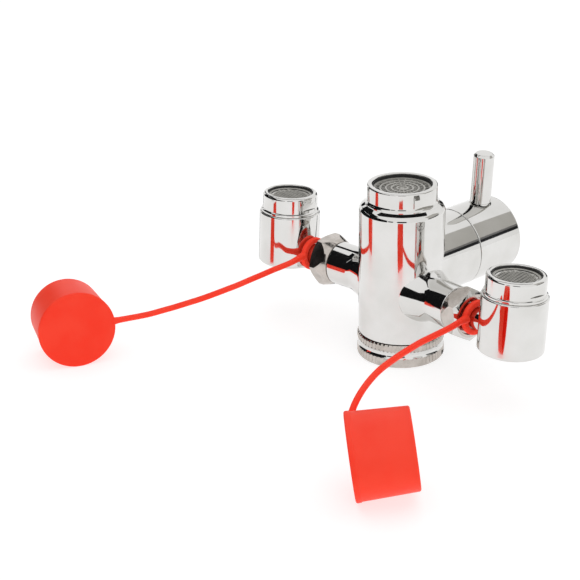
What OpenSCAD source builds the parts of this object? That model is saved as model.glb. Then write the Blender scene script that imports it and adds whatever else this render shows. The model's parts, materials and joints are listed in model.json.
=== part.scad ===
// Faucet-mounted eyewash with two turning spray heads, a diverter lever and tethered dust caps.
// It stands on its inlet nut: origin at the centre of the nut's foot, +Z up the column,
// +X towards the right head, +Y towards the diverter valve. Millimetres.

/* [Column] */
// Diameter of the column
column_d = 29.5; // [27:0.5:40]
// Height of the column's top face above its foot
column_h = 47; // [44:0.1:80]
// Width of the bevel round the column's top
shoulder_w = 2.1; // [0.5:0.1:2.4]
// Height of the bevel round the column's top
shoulder_h = 1.4; // [0.5:0.1:3]
// Diameter of the outlet chamber
outlet_bore = 18.6; // [12:0.1:20]
// Diameter of the inlet chamber
inlet_bore = 15; // [12:0.5:16]
// Diameter of the drilled water passages
passage_d = 5; // [3:0.5:5.5]
// Thickness of the webs between the chambers and the arm bore
web = 3.5; // [2:0.1:4]

/* [Inlet nut] */
// Outer diameter over the knurls
nut_d = 30.4; // [28:0.2:40]
// Height of the lower knurled band
knurl_low_h = 3.3; // [2:0.1:6]
// Height of the polished groove between the bands
groove_h = 2.6; // [1:0.1:5]
// Height of the upper knurled band
knurl_high_h = 2.4; // [1.5:0.1:5]
// Depth of the polished groove
groove_depth = 0.3; // [0.2:0.05:0.5]
// Number of flutes in each knurled band
flute_count = 60; // [30:2:64]
// Bore of the female thread, at its crests
inlet_thread_d = 21; // [20:0.1:23]
// Diameter of the body's neck inside the nut
neck_d = 18.6; // [18:0.1:19.4]
// Thickness of the inlet washer
inlet_washer_h = 1.5; // [1:0.1:2]

/* [Outlet aerator] */
// Outer diameter of the outlet housing
outlet_d = 24; // [23:0.1:28]
// Height of the outlet housing above the column
outlet_h = 6.6; // [5:0.1:12]
// Diameter of the outlet housing's opening
outlet_open_d = 20.4; // [19:0.1:20.8]
// Diameter of the outlet housing's thread
outlet_thread_d = 21.6; // [21.4:0.1:22.4]
// Length of the outlet housing's thread
outlet_thread_len = 6; // [5:0.5:8]

/* [Arms] */
// Height of both arm axes above the foot
arm_z = 25.5; // [25:0.1:27]
// Outer diameter of each arm
arm_d = 14.6; // [13.6:0.1:16]
// Forward sweep of each arm, in degrees
arm_sweep = 4.4; // [0:0.1:8]
// Distance from the column axis to the arm's shoulder
arm_len = 28.3; // [25:0.1:40]
// Diameter of the water bore along each arm
arm_bore = 6.6; // [5:0.1:7]

/* [Union nuts and stems] */
// Width across the flats of a union nut
union_af = 16.5; // [15.5:0.1:18]
// Length of a union nut
union_len = 7.5; // [7:0.1:9]
// Diameter of the union thread
union_thread_d = 12.4; // [11.6:0.1:12.8]
// Outer diameter of the stem tube
stem_d = 7.4; // [6.6:0.1:8]
// Bore of the stem tube
stem_bore = 4.6; // [3:0.1:5]

/* [Spray heads] */
// Distance from the column axis to a head's axis
head_reach = 53.7; // [52:0.1:70]
// Diameter of the head cup
cup_d = 22; // [21:0.2:26]
// Height of the head cup
cup_h = 19.4; // [18:0.1:30]
// Depth of the cup's foot below the arm axis
cup_below = 5.7; // [5.5:0.1:8]
// Lean of both heads about their arms, towards the valve, in degrees
head_lean = 3.6; // [0:0.1:10]
// Outer diameter of the head's aerator housing
head_housing_d = 19.8; // [18.8:0.1:20.6]
// Height of the head's aerator housing above the cup
head_housing_h = 7; // [5:0.1:9]
// Diameter of the head housing's opening
head_open_d = 16.4; // [15.6:0.1:17]
// Diameter of the head housing's thread
head_thread_d = 17.8; // [17.4:0.1:18.4]
// Length of the head housing's thread
head_thread_len = 4.5; // [3:0.1:5]

/* [Diverter valve] */
// Height of the valve axis above the foot
valve_z = 31.8; // [31.6:0.1:33]
// Diameter of the valve stub and of the lever cap
valve_d = 27.5; // [26:0.1:32]
// Distance from the column axis to the seam of the lever cap
seam_y = 26; // [25.5:0.1:34]
// Diameter of the cartridge bore
cartridge_d = 21; // [20:0.1:22]
// Thickness of each ceramic disc
disc_h = 3; // [2:0.1:3.2]
// Distance of the discs' outer holes from the valve axis
port_r = 6; // [5.6:0.1:6.2]

/* [Lever] */
// Length of the lever cap along the valve axis
lever_cap_len = 20.9; // [18:0.1:30]
// Diameter of the lever rod
rod_d = 7.4; // [5.6:0.1:9]
// Distance from the valve axis to the tip of the lever rod
rod_reach = 32.4; // [26:0.1:60]
// Distance from the seam to the axis of the lever rod
rod_y = 12.8; // [12:0.1:14]
// Lean of the lever from upright at rest, in degrees
lever_lean = 3.7; // [0:0.1:10]

/* [Dust caps] */
// Diameter of the cap's closed end
cap_closed_d = 27.1; // [26.6:0.1:30]
// Length of the cap
cap_len = 19.3; // [15:0.1:25]
// Wall of the cap
cap_wall = 1.5; // [1:0.1:2]
// Thickness of the cap's closed end
cap_end = 2.1; // [1.5:0.1:3]
// Width of the tether strap
strap_w = 2.1; // [1.5:0.1:2.6]
// Outer diameter of the tether ring
ring_d = 12; // [11.6:0.1:14]
// Thickness of the tether ring along the stem
ring_t = 2; // [1.6:0.1:2.4]

/* [Hidden] */
$fn = 64;

LEFT = -1;
RIGHT = 1;

// Clearances
turn_gap = 0.25;   // between flat faces that turn past each other
run_gap = 0.05;    // radial, a shaft that turns in its hole
fit_gap = 0.05;    // a piece in its seat
loose_gap = 0.3;   // a piece that hangs loose
eps = 0.5;         // how far a cut runs past the face that it opens

// Finishes
chrome = "gainsboro";
satin = "silver";
brass = "goldenrod";
white_plastic = "whitesmoke";
grey_plastic = "gray";
black_rubber = "dimgray";
ceramic = "ivory";
red_silicone = "tomato";

// ---------- helpers ----------

// A ring or tube along +Z
module tube(d, bore, h) {
    difference() {
        cylinder(d = d, h = h);
        translate([0, 0, -eps])
            cylinder(d = bore, h = h + 2 * eps);
    }
}

// A cylinder along +Z with a bevel at either end
module bevelled(d, h, low, high) {
    r = d / 2;
    rotate_extrude()
        polygon([[0, 0], [r - low, 0], [r, low], [r, h - high], [r - high, h], [0, h]]);
}

// A hexagonal bar along +Z, by its width across the flats
module hex_bar(af, h) {
    cylinder(d = af / cos(30), h = h, $fn = 6);
}

// A thin disc with rings of hexagonal holes
module perforated_disc(d, h, pitch, rings) {
    difference() {
        cylinder(d = d, h = h);
        for (ring = [0:rings], i = [0:max(0, 6 * ring - 1)])
            rotate([0, 0, ring == 0 ? 0 : i * 60 / ring])
                translate([ring * pitch, 0, -eps])
                    hex_bar(0.62 * pitch, h + 2 * eps);
    }
}

// Places children with their +X out along one arm, their origin on the arm's axis
module on_arm(side, distance) {
    translate([0, 0, arm_z])
        rotate([0, 0, side > 0 ? -arm_sweep : 180 + arm_sweep])
            translate([distance, 0, 0])
                children();
}

// Turns children's +Z out along one arm
module along_arm(side, distance) {
    on_arm(side, distance)
        rotate([0, 90, 0])
            children();
}

// Places children on a head's axis: +Z up the leaning cup, origin on the arm's axis, +X outward
module on_head(side) {
    on_arm(side, head_reach)
        rotate([-side * head_lean, 0, 0])
            children();
}

// Turns children's +Z out along the valve axis, and their -Y up the column
module on_valve(y) {
    translate([0, y, valve_z])
        rotate([-90, 0, 0])
            children();
}

// As on_valve, with -Y along the lever rod
module on_lever(y) {
    on_valve(y)
        rotate([0, 0, lever_lean])
            children();
}

// ---------- inlet nut and neck, from the floor up ----------

nut_h = knurl_low_h + groove_h + knurl_high_h;
nut_wall_h = 1.2;                                  // the nut's top wall
clip_h = 0.8;
clip_depth = 0.6;                                  // of the clip's groove in the neck
clip_z = nut_h - nut_wall_h - turn_gap - clip_h;   // the clip's lower face
neck_foot = clip_z - 0.6;
inlet_washer_z = neck_foot - inlet_washer_h;
inlet_thread_len = inlet_washer_z - 0.1;
clip_room_d = inlet_thread_d + 1.4;                // room over the thread for washer and clip
inlet_washer_d = clip_room_d - 2 * 0.2;
inlet_screen_h = 0.4;
neck_bore = 13.6;
column_foot = nut_h + turn_gap;
column_top = column_foot + column_h;

// A fluted band of the nut
module knurl_band(h) {
    flute_w = 1.4;
    flute_depth = 0.25;
    linear_extrude(h)
        difference() {
            circle(d = nut_d);
            for (i = [0:flute_count - 1])
                rotate(i * 360 / flute_count)
                    translate([(nut_d + flute_w) / 2 - flute_depth, 0])
                        circle(d = flute_w, $fn = 4);
        }
}

module inlet_nut() {
    color(satin)
        difference() {
            union() {
                knurl_band(knurl_low_h);
                translate([0, 0, knurl_low_h])
                    cylinder(d = nut_d - 2 * groove_depth, h = groove_h);
                translate([0, 0, knurl_low_h + groove_h])
                    knurl_band(knurl_high_h);
            }
            translate([0, 0, -eps])
                cylinder(d = inlet_thread_d, h = inlet_thread_len + 2 * eps);
            translate([0, 0, inlet_thread_len])
                cylinder(d = clip_room_d, h = nut_h - nut_wall_h - inlet_thread_len);
            cylinder(d = neck_d + 2 * run_gap, h = nut_h + eps);
        }
}

// Snap ring with a gap, in the neck's groove
module inlet_clip() {
    gap_w = 4;
    color(satin)
        translate([0, 0, clip_z + fit_gap])
            difference() {
                tube(neck_d + 2.4, neck_d - 2 * clip_depth + 2 * fit_gap, clip_h - 2 * fit_gap);
                translate([0, -gap_w / 2, -eps])
                    cube([neck_d, gap_w, clip_h + 2 * eps]);
            }
}

module inlet_washer() {
    color(black_rubber)
        translate([0, 0, inlet_washer_z])
            difference() {
                tube(inlet_washer_d, neck_bore, inlet_washer_h);
                translate([0, 0, inlet_washer_h - inlet_screen_h - fit_gap])
                    cylinder(d = neck_bore + 2, h = inlet_screen_h + fit_gap + eps);
            }
}

module inlet_screen() {
    color(satin)
        translate([0, 0, neck_foot - inlet_screen_h])
            perforated_disc(neck_bore + 2 - 2 * fit_gap, inlet_screen_h, 1.9, 3);
}

// ---------- main body ----------

arm_port_x = port_r;
inlet_passage_y = (inlet_bore + passage_d) / 2 - 3;
inlet_roof = arm_z - arm_bore / 2 - web;
outlet_floor = valve_z + passage_d / 2 + web - 0.8;
outlet_seat_h = 2;                                 // washer under the outlet housing
outlet_seat_z = column_top - outlet_thread_len - outlet_seat_h;
union_spigot = 3.9;                                // length of the arm's threaded end
stub_end = seam_y - turn_gap;
cartridge_floor = outlet_bore / 2 + 2.7;

// A cone that eases an arm out of the column
module arm_root() {
    flare = 1.6;
    cylinder(d1 = arm_d + 2 * flare, d2 = arm_d, h = 2 * flare);
}

module body_skin() {
    r = column_d / 2;
    translate([0, 0, column_foot])
        rotate_extrude()
            polygon([[0, 0], [r - 0.3, 0], [r, 0.3], [r, column_h - shoulder_h],
                [r - shoulder_w, column_h], [0, column_h]]);
    translate([0, 0, neck_foot])
        cylinder(d = neck_d, h = column_foot - neck_foot + 1);
    for (side = [LEFT, RIGHT]) {
        along_arm(side, 0)
            cylinder(d = arm_d, h = arm_len);
        along_arm(side, r - 1.4)
            arm_root();
        along_arm(side, arm_len - 1)
            cylinder(d = union_thread_d, h = union_spigot + 1);
    }
    on_valve(0)
        cylinder(d = valve_d, h = stub_end);
}

// Feed at the valve's centre, column outlet above it, arms beside it
module valve_ports() {
    depth = cartridge_floor + eps;
    translate([0, inlet_passage_y, inlet_roof - 2])
        cylinder(d = passage_d, h = valve_z - inlet_roof + 2);
    on_valve(inlet_passage_y)
        cylinder(d = passage_d, h = depth - inlet_passage_y);
    translate([0, 0, port_r])
        on_valve(0)
            cylinder(d = passage_d, h = depth);
    translate([arm_port_x, 0, 0])
        on_valve(2)
            cylinder(d = passage_d, h = depth - 2);
    translate([arm_port_x, 2, arm_z])
        cylinder(d = passage_d, h = valve_z - arm_z);
}

module body_waterways() {
    translate([0, 0, neck_foot - eps])
        cylinder(d = neck_bore, h = column_foot - neck_foot + 2);
    translate([0, 0, column_foot + 1])
        cylinder(d = inlet_bore, h = inlet_roof - column_foot - 1);
    translate([0, 0, outlet_floor])
        cylinder(d = outlet_bore, h = column_top - outlet_floor + eps);
    translate([0, 0, outlet_seat_z])
        cylinder(d = outlet_thread_d + 2 * fit_gap, h = column_top - outlet_seat_z + eps);
    for (side = [LEFT, RIGHT])
        along_arm(side, 0)
            cylinder(d = arm_bore, h = arm_len + union_spigot + eps);
    on_valve(cartridge_floor)
        cylinder(d = cartridge_d, h = seam_y);
    valve_ports();
}

module main_body() {
    color(chrome)
        difference() {
            body_skin();
            body_waterways();
            translate([0, 0, clip_z])
                tube(neck_d + 2, neck_d - 2 * clip_depth, clip_h);
        }
}

// ---------- outlet aerator ----------

outlet_flange_h = 1.2;
outlet_lip_h = 1.4;                                // thread's inner end, holds the screen
outlet_insert_d = outlet_thread_d - 3;
outlet_top = column_top + outlet_h;
outlet_plate_h = 1.2;
outlet_step = outlet_h - outlet_plate_h - 0.9;     // seat of the insert's plate over the column

module outlet_housing() {
    ro = outlet_d / 2;
    rt = outlet_thread_d / 2;
    rp = outlet_open_d / 2;
    ri = outlet_insert_d / 2 + fit_gap;
    foot = -outlet_thread_len;
    color(chrome)
        translate([0, 0, column_top])
            difference() {
                rotate_extrude()
                    polygon([[ri - 1.2, foot], [rt, foot], [rt, 0], [ro + 0.2, 0],
                        [ro + 0.2, outlet_flange_h], [ro, outlet_flange_h + 0.2],
                        [ro, outlet_h - 0.4], [ro - 0.4, outlet_h], [rp, outlet_h],
                        [rp, outlet_step], [ri, outlet_step], [ri, foot + outlet_lip_h],
                        [ri - 1.2, foot + outlet_lip_h]]);
                wrench_flats(outlet_d, outlet_h, outlet_flange_h);
            }
}

// Two opposite flats cut into the rim of an aerator housing
module wrench_flats(d, h, low) {
    depth = 0.9;
    flat_h = h - low - 1.6;
    for (angle = [0, 180])
        rotate([0, 0, angle])
            translate([d / 2 - depth, -d / 2, low + 0.8])
                cube([d, d, flat_h]);
}

module outlet_insert() {
    plate_r = outlet_open_d / 2 - fit_gap;
    groove_w = 0.7;
    skirt_r = outlet_insert_d / 2;
    skirt_foot = -outlet_thread_len + outlet_lip_h + 2;
    color(grey_plastic)
        translate([0, 0, column_top])
            difference() {
                union() {
                    translate([0, 0, outlet_step])
                        cylinder(r = plate_r, h = outlet_plate_h);
                    translate([0, 0, skirt_foot])
                        tube(2 * skirt_r, 2 * skirt_r - 2.4, outlet_step - skirt_foot + 0.1);
                }
                for (ring = [1:3])
                    translate([0, 0, outlet_step + outlet_plate_h - 0.5])
                        tube(5 * ring + groove_w, 5 * ring - groove_w, 1);
                for (ring = [1:3], i = [0:8 * ring - 1])
                    rotate([0, 0, i * 45 / ring])
                        translate([2.5 * ring, 0, outlet_step - eps])
                            hex_bar(1, 3);
            }
}

module outlet_screen() {
    h = 0.5;
    color(satin)
        translate([0, 0, column_top - outlet_thread_len + outlet_lip_h + fit_gap])
            perforated_disc(outlet_insert_d - 2 * fit_gap, h, 2.2, 3);
}

module outlet_washer() {
    color(black_rubber)
        translate([0, 0, outlet_seat_z])
            tube(outlet_thread_d - 0.2, 16, outlet_seat_h);
}

// ---------- diverter cartridge, from the bore's floor out ----------

gasket_h = 1;
disc_d = cartridge_d - 3;
disc_y = cartridge_floor + gasket_h;
moving_y = disc_y + disc_h + fit_gap;
driver_h = 1.8;
driver_y = moving_y + disc_h;
cup_lip_h = 1.1;
cup_end_y = driver_y + driver_h + fit_gap + cup_lip_h;
spindle_d = 9.2;
spindle_af = 7;
driver_w = 3;                                      // tongue that turns the moving disc
driver_depth = 1.2;
spindle_tip = 8.4;                                 // of the hexagon past the seam

// The three ports, as holes in a disc
module port_holes(h) {
    translate([0, 0, -eps])
        cylinder(d = passage_d, h = h + 2 * eps);
    translate([0, -port_r, -eps])
        cylinder(d = passage_d, h = h + 2 * eps);
    translate([arm_port_x, 0, -eps])
        cylinder(d = passage_d, h = h + 2 * eps);
}

module cartridge_gasket() {
    color(black_rubber)
        on_valve(cartridge_floor)
            difference() {
                cylinder(d = cartridge_d - 2 * fit_gap, h = gasket_h);
                port_holes(gasket_h);
            }
}

module fixed_disc() {
    color(ceramic)
        on_valve(disc_y)
            difference() {
                cylinder(d = disc_d, h = disc_h);
                port_holes(disc_h);
            }
}

// Housing that holds both discs and guides the spindle
module cartridge_housing() {
    len = cup_end_y - disc_y;
    color(white_plastic)
        on_valve(disc_y)
            difference() {
                cylinder(d = cartridge_d - 2 * fit_gap, h = len);
                translate([0, 0, -eps])
                    cylinder(d = disc_d + 2 * run_gap, h = len - cup_lip_h + eps);
                cylinder(d = spindle_d + 2 * run_gap, h = len + eps);
            }
}

// Disc with a blind slot that joins the centre port to one outer port
module moving_disc() {
    channel_w = 4;
    color(ceramic)
        on_lever(moving_y)
            difference() {
                cylinder(d = disc_d, h = disc_h);
                translate([-channel_w / 2, -port_r - 2, -eps])
                    cube([channel_w, port_r + 4, 1 + eps]);
                translate([-disc_d / 2, -driver_w / 2, disc_h - driver_depth])
                    cube([disc_d, driver_w, driver_depth + eps]);
            }
}

module spindle() {
    shaft_len = stub_end + 0.6 - driver_y;
    color(brass)
        on_lever(driver_y) {
            cylinder(d = disc_d - 2, h = driver_h);
            translate([-disc_d / 2 + 1.4, -driver_w / 2 + fit_gap, -driver_depth + fit_gap])
                cube([disc_d - 2.8, driver_w - 2 * fit_gap, driver_depth]);
            cylinder(d = spindle_d, h = shaft_len);
            hex_bar(spindle_af, seam_y + spindle_tip - driver_y);
        }
}

module spindle_seal() {
    section = 1.5;
    color(black_rubber)
        on_lever(cup_end_y + section / 2 + fit_gap)
            rotate_extrude()
                translate([(spindle_d + section) / 2 + run_gap / 2, 0])
                    circle(d = section, $fn = 24);
}

// Threaded ring that clamps the cartridge, with two spanner slots
module retaining_nut() {
    len = stub_end - fit_gap - cup_end_y;
    seal_room = 1.9;
    slot_w = 2.4;
    color(brass)
        on_valve(cup_end_y)
            difference() {
                cylinder(d = cartridge_d - 2 * fit_gap, h = len);
                translate([0, 0, -eps])
                    cylinder(d = spindle_d + 4, h = seal_room + eps);
                cylinder(d = spindle_d + 2 * run_gap, h = len + eps);
                translate([-cartridge_d, -slot_w / 2, len - 0.8])
                    cube([2 * cartridge_d, slot_w, 2]);
            }
}

// ---------- lever ----------

cap_recess = 2;
grub_d = 4;
grub_y = 5;                                        // from the seam
stud_d = 5;
stud_root = 6.4;                                   // distance of the stud's end from the valve axis
rod_seat = valve_d / 2 - 1.3;                      // flat floor of the rod's counterbore

// Turns children's +Z out of the valve axis along the lever rod, at a distance from the seam
module along_rod(y) {
    on_lever(seam_y + y)
        rotate([90, 0, 0])
            children();
}

module lever_cap() {
    color(chrome)
        difference() {
            on_lever(seam_y)
                bevelled(valve_d, lever_cap_len, 0.2, 0.8);
            on_lever(seam_y - eps)
                cylinder(d = valve_d - 5, h = cap_recess + eps);
            on_lever(seam_y)
                hex_bar(spindle_af + 2 * fit_gap, spindle_tip + 0.4);
            along_rod(rod_y)
                cylinder(d = stud_d + 2 * fit_gap, h = valve_d);
            along_rod(rod_y)
                translate([0, 0, rod_seat])
                    cylinder(d = rod_d + 2 * fit_gap, h = valve_d);
            along_rod(grub_y)
                rotate([180, 0, 0])
                    cylinder(d = grub_d + 2 * fit_gap, h = valve_d);
        }
}

module lever_rod() {
    tip = 0.9;
    color(chrome)
        along_rod(rod_y) {
            translate([0, 0, rod_seat])
                bevelled(rod_d, rod_reach - rod_seat, 0, tip);
            translate([0, 0, stud_root])
                cylinder(d = stud_d, h = rod_seat - stud_root + 1);
        }
}

module grub_screw() {
    len = 6;
    color(satin)
        along_rod(grub_y)
            rotate([180, 0, 0])
                translate([0, 0, spindle_af / 2 + 0.3])
                    difference() {
                        cylinder(d = grub_d, h = len);
                        translate([0, 0, len - 2])
                            hex_bar(2, 2 + eps);
                    }
}

// ---------- union nuts and stems, out along the arm ----------

seal_h = 0.8;
seal_x = arm_len + union_spigot;
flange_x = seal_x + seal_h + fit_gap;
flange_h = 1;
union_x = arm_len + 0.1;
union_lip_x = flange_x + flange_h + fit_gap;
union_face_x = union_x + union_len;
union_lip_h = 0.9;
cup_bore_low = head_thread_d - 1.5;                // of the cup below its washer
stem_end = head_reach - cup_bore_low / 2 - 0.3;

module union_nut(side) {
    corner = union_af / cos(30);
    bevel = (corner - union_af) / 2 + 0.1;
    color(satin)
        along_arm(side, union_x)
            difference() {
                intersection() {
                    hex_bar(union_af, union_len);
                    rotate_extrude()
                        polygon([[0, 0], [corner / 2 - bevel, 0], [corner / 2, 0.7],
                            [corner / 2, union_len - 0.7], [corner / 2 - bevel, union_len],
                            [0, union_len]]);
                }
                translate([0, 0, -eps])
                    cylinder(d = union_thread_d + 2 * fit_gap, h = union_lip_x - union_x + eps);
                translate([0, 0, union_lip_x + union_lip_h - union_x])
                    cylinder(d = ring_d + 0.6, h = union_len);
                cylinder(d = stem_d + 2 * run_gap, h = union_len + eps);
            }
}

module stem_seal(side) {
    color(black_rubber)
        along_arm(side, seal_x)
            tube(union_thread_d - 0.6, arm_bore, seal_h);
}

module stem(side) {
    color(chrome)
        along_arm(side, flange_x)
            difference() {
                union() {
                    cylinder(d = union_thread_d - 0.5, h = flange_h);
                    cylinder(d = stem_d, h = stem_end - flange_x);
                }
                translate([0, 0, -eps])
                    cylinder(d = stem_bore, h = stem_end - flange_x + 2 * eps);
            }
}

// ---------- spray heads ----------

cup_top = cup_h - cup_below;
cup_floor_h = 2;
head_washer_h = 1.5;
head_seat = cup_top - head_thread_len - head_washer_h;
screen_h = 0.5;
screen_sink = 1.1;                                 // of the screen's face below the rim
head_top = cup_top + head_housing_h;
screen_z = head_top - screen_sink - screen_h;
head_insert_d = head_open_d - 1.8;

module head_cup(side) {
    color(chrome)
        difference() {
            on_head(side)
                translate([0, 0, -cup_below])
                    bevelled(cup_d, cup_h, 0.9, 0.4);
            on_head(side)
                translate([0, 0, head_seat])
                    cylinder(d = head_thread_d + 2 * fit_gap, h = cup_h);
            on_head(side)
                translate([0, 0, cup_floor_h - cup_below])
                    cylinder(d = cup_bore_low, h = cup_h);
            along_arm(side, stem_end - 2)
                rotate([180, 0, 0])
                    translate([0, 0, -2 - eps])
                        cylinder(d = stem_d + 2 * fit_gap, h = cup_d / 2);
        }
}

module head_housing(side) {
    ro = head_housing_d / 2;
    rt = head_thread_d / 2;
    rp = head_open_d / 2;
    ri = head_insert_d / 2 + fit_gap;
    foot = -head_thread_len;
    step = head_housing_h - screen_sink - screen_h;
    color(chrome)
        on_head(side)
            translate([0, 0, cup_top])
                difference() {
                    rotate_extrude()
                        polygon([[ri - 0.8, foot], [rt, foot], [rt, 0], [ro + 0.5, 0],
                            [ro + 0.5, 0.8], [ro, 1.3], [ro, head_housing_h - 0.5],
                            [ro - 0.5, head_housing_h], [rp, head_housing_h], [rp, step],
                            [ri, step], [ri, foot + 1], [ri - 0.8, foot + 1]]);
                    wrench_flats(head_housing_d, head_housing_h, 1.3);
                }
}

module head_washer(side) {
    color(black_rubber)
        on_head(side)
            translate([0, 0, head_seat])
                tube(head_thread_d - 0.2, 13.5, head_washer_h);
}

module head_screen(side) {
    color(grey_plastic)
        on_head(side)
            translate([0, 0, screen_z + fit_gap])
                perforated_disc(head_open_d - 2 * fit_gap, screen_h, 2, 3);
}

// Plastic jet former under the screen
module head_insert(side) {
    foot = cup_top - head_thread_len + 1 + fit_gap;
    h = screen_z - foot;
    color(white_plastic)
        on_head(side)
            translate([0, 0, foot])
                difference() {
                    cylinder(d = head_insert_d, h = h);
                    translate([0, 0, 2])
                        cylinder(d = head_insert_d - 2.4, h = h);
                    for (i = [0:7])
                        rotate([0, 0, i * 45])
                            translate([3.8, 0, -eps])
                                hex_bar(1.4, 4);
                }
}

// ---------- tether rings, straps and dust caps ----------

ring_x = [head_reach - cup_d / 2 - loose_gap - ring_t / 2, union_face_x + loose_gap + ring_t / 2];
cap_mouth_d = cup_d + 2 * (cap_wall + fit_gap);
cap_taper = atan((cap_closed_d - cap_mouth_d) / 2 / cap_len);

// Where each cap's closed end lies: x, y, heading of the mouth and its tilt up, left then right
cap_lie = [[-68, -89.3, 158, -cap_taper], [60, -82.6, 49, 7.5]];

// Middle line of each strap, from its ring to its cap, chosen as the strap lies
strap_route = [
    [[-40.9, -8.4, 26.1], [-40.5, -12, 25.9], [-40.3, -15, 25.6], [-40.6, -19, 25.2],
        [-40.9, -23, 24.9], [-41.3, -27.5, 24.4], [-42.2, -32.6, 23.6], [-43.4, -37.6, 22.6],
        [-45, -41.9, 21.6], [-47, -46, 20.4], [-49.2, -50, 19.2], [-51.6, -53.8, 18.1],
        [-54, -57.5, 17], [-56.3, -61.3, 16.1], [-58.4, -65, 15.3], [-60.2, -68.4, 14.9],
        [-61.8, -71.8, 14.7], [-63.3, -74.9, 14.5], [-64.2, -77.1, 14.4]],
    [[37.1, -7.7, 26.5], [38, -11.5, 26.9], [38.8, -17, 26.9], [39.2, -22.2, 26.9],
        [39.8, -27.5, 27.1], [40.6, -33, 27.4], [41.6, -38.5, 27.5], [42.7, -44, 27.6],
        [43.9, -49.7, 27.5], [45.1, -55.2, 27.2], [46.3, -60.2, 26.3], [47.3, -64.2, 25],
        [48.1, -67.2, 23.6], [48.6, -69.3, 22], [48.9, -70.7, 20.4], [49.3, -72, 18.8],
        [50, -73.2, 17.4], [51.3, -74.1, 16.2]]];

// Direction of the route at its point i
function heading(route, i) =
    let (step = route[min(i + 1, len(route) - 1)] - route[max(i - 1, 0)])
    step / norm(step);

// Ring of points round the route at its point i
function strap_ring(route, i, sides, d) =
    let (t = heading(route, i),
        u = cross(t, [0, 0, 1]) / norm(cross(t, [0, 0, 1])),
        v = cross(t, u))
    [for (k = [0:sides - 1])
        route[i] + d / 2 * (u * cos(k * 360 / sides) + v * sin(k * 360 / sides))];

// A closed tube swept along the route
module swept_tube(route, d) {
    sides = 8;
    last = len(route) - 1;
    points = [for (i = [0:last]) each strap_ring(route, i, sides, d)];
    walls = [for (i = [0:last - 1], k = [0:sides - 1])
        let (n = (k + 1) % sides)
        [i * sides + k, i * sides + n, (i + 1) * sides + n, (i + 1) * sides + k]];
    first_end = [for (k = [sides - 1:-1:0]) k];
    last_end = [for (k = [0:sides - 1]) last * sides + k];
    polyhedron(points, concat(walls, [first_end, last_end]));
}

function hand(side) = side > 0 ? 1 : 0;

// Places children on a cap's closed face, +Z towards its mouth
module on_cap(side) {
    lie = cap_lie[hand(side)];
    rim = cap_closed_d / 2 * cos(lie[3]);
    translate([lie[0], lie[1], rim])
        rotate([0, 0, lie[2]])
            rotate([0, 90 - lie[3], 0])
                children();
}

module tether_ring(side) {
    color(red_silicone)
        along_arm(side, ring_x[hand(side)] - ring_t / 2)
            tube(ring_d, stem_d + 2 * loose_gap, ring_t);
}

module tether_strap(side) {
    color(red_silicone)
        swept_tube(strap_route[hand(side)], strap_w);
}

module dust_cap(side) {
    rc = cap_closed_d / 2;
    rm = cap_mouth_d / 2;
    color(red_silicone)
        on_cap(side)
            rotate_extrude()
                polygon([[0, 0], [rc - 0.5, 0], [rc, 0.5], [rm, cap_len],
                    [rm - cap_wall, cap_len], [rc - cap_wall, cap_end], [0, cap_end]]);
}

// ---------- nodes ----------

main_body();
inlet_nut();
inlet_clip();
inlet_washer();
inlet_screen();
outlet_housing();
outlet_insert();
outlet_screen();
outlet_washer();
cartridge_gasket();
fixed_disc();
cartridge_housing();
moving_disc();
spindle();
spindle_seal();
retaining_nut();
lever_cap();
lever_rod();
grub_screw();
union_nut(LEFT);  // left_union_nut
stem_seal(LEFT);  // left_stem_seal
stem(LEFT);  // left_stem
head_cup(LEFT);  // left_head_cup
head_housing(LEFT);  // left_head_housing
head_washer(LEFT);  // left_head_washer
head_screen(LEFT);  // left_head_screen
head_insert(LEFT);  // left_head_insert
tether_ring(LEFT);  // left_tether_ring
tether_strap(LEFT);  // left_tether_strap
dust_cap(LEFT);  // left_dust_cap
union_nut(RIGHT);  // right_union_nut
stem_seal(RIGHT);  // right_stem_seal
stem(RIGHT);  // right_stem
head_cup(RIGHT);  // right_head_cup
head_housing(RIGHT);  // right_head_housing
head_washer(RIGHT);  // right_head_washer
head_screen(RIGHT);  // right_head_screen
head_insert(RIGHT);  // right_head_insert
tether_ring(RIGHT);  // right_tether_ring
tether_strap(RIGHT);  // right_tether_strap
dust_cap(RIGHT);  // right_dust_cap
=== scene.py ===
"""Faucet-mounted eyewash with two turning spray heads: its shapes, finishes, light and camera.

Sizes in the classes are in millimetres and turned to metres where a mesh is made. Each
sub-assembly is a class that builds its pieces, dresses them and lets them ride on a body.
"""

import functools
import json
import logging
import math
from collections.abc import Callable, Iterable, Sequence
from dataclasses import dataclass
from enum import Enum

import bmesh
import bpy
from mathutils import Matrix, Vector


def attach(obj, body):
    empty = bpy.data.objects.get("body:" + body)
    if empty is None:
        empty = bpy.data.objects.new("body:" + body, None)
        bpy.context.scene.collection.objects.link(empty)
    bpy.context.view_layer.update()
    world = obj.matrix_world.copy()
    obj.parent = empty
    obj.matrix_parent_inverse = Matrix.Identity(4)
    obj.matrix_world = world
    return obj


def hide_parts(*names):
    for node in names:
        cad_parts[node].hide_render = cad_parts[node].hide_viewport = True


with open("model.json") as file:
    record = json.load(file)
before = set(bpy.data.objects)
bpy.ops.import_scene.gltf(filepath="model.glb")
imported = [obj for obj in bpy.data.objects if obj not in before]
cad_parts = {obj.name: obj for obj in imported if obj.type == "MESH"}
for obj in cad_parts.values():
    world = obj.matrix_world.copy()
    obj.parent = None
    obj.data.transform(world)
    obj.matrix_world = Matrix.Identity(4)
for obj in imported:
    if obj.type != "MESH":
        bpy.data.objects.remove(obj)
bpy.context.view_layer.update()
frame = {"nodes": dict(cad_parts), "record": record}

LOG = logging.getLogger("eyewash")
MM = 0.001
ROUND = 192
Corner = tuple[float, ...]
Piece = bpy.types.Object
Tree = bpy.types.NodeTree
Socket = bpy.types.NodeSocket
Face = bpy.types.MeshPolygon


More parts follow.
